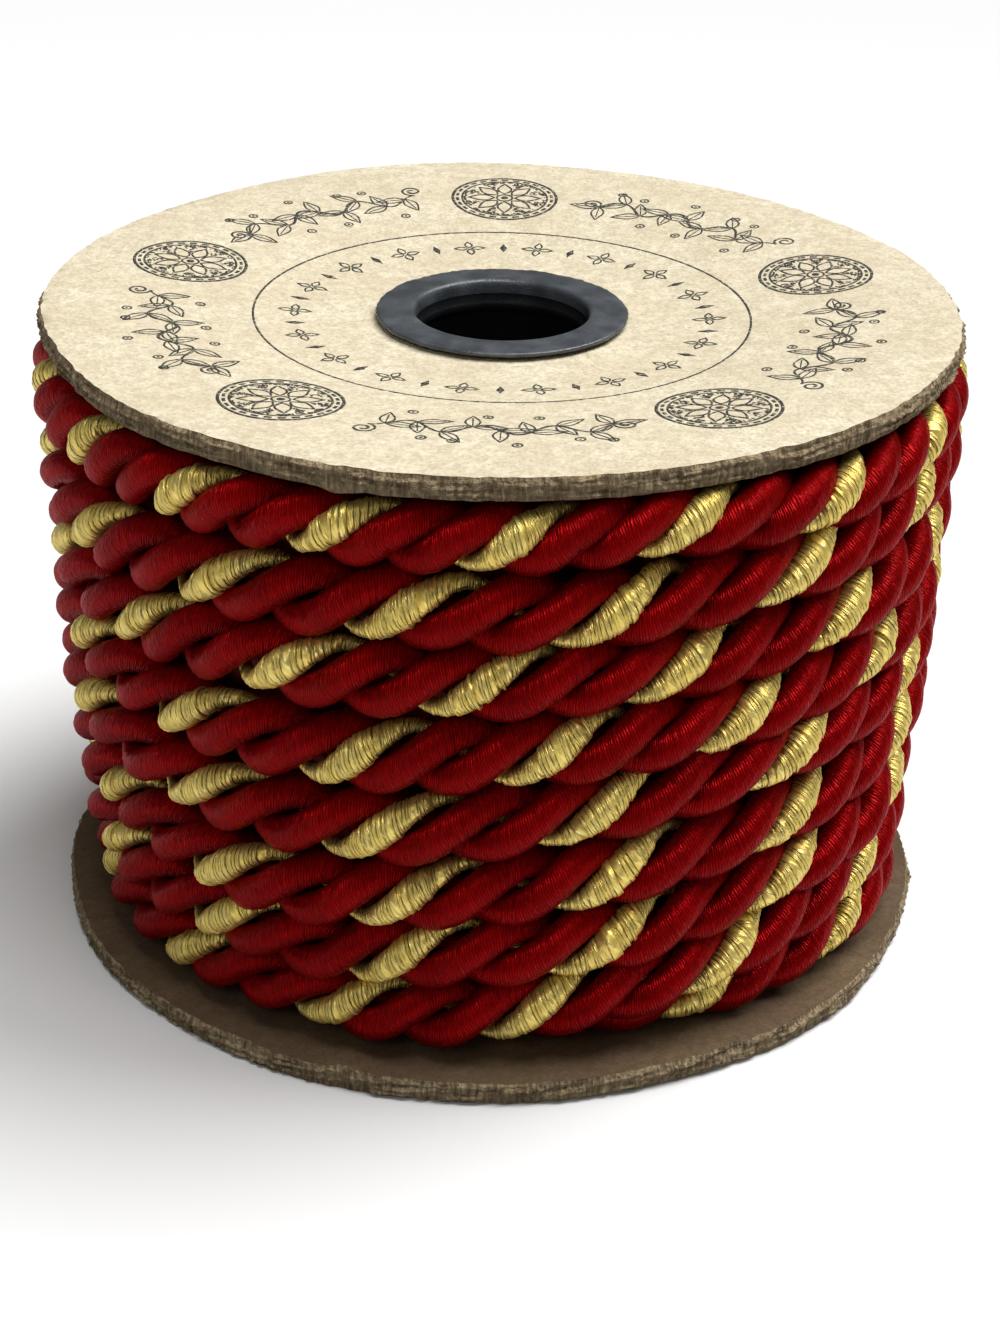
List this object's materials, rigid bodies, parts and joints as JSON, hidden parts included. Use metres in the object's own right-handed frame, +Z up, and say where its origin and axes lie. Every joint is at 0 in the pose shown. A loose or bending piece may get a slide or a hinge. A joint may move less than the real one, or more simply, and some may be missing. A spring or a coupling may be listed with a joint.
{
  "type": "roll of decorative cord",
  "caption": "Spool of kraft board flanges with a plastic hub, wound full of red and gold twisted decorative cord.",
  "frame": {"origin": "middle of the bottom, on the spool's axis, where the lower flange rests", "axes": "+Z up along the spool's axis, -Y the front of the roll"},
  "size_m": [0.1302, 0.1301, 0.091],
  "materials": {
    "board": "uncoated kraft chipboard",
    "hub_plastic": "satin moulded",
    "cord": "satin viscose and cotton strands",
    "metallic_yarn": "metallic yarn wrapped round a core"
  },
  "bodies": {
    "root": {"flange_bottom": "board", "flange_top": "board", "hub_lower": "hub_plastic", "hub_upper": "hub_plastic", "cord_roll": "cord"}
  },
  "joints": []
}
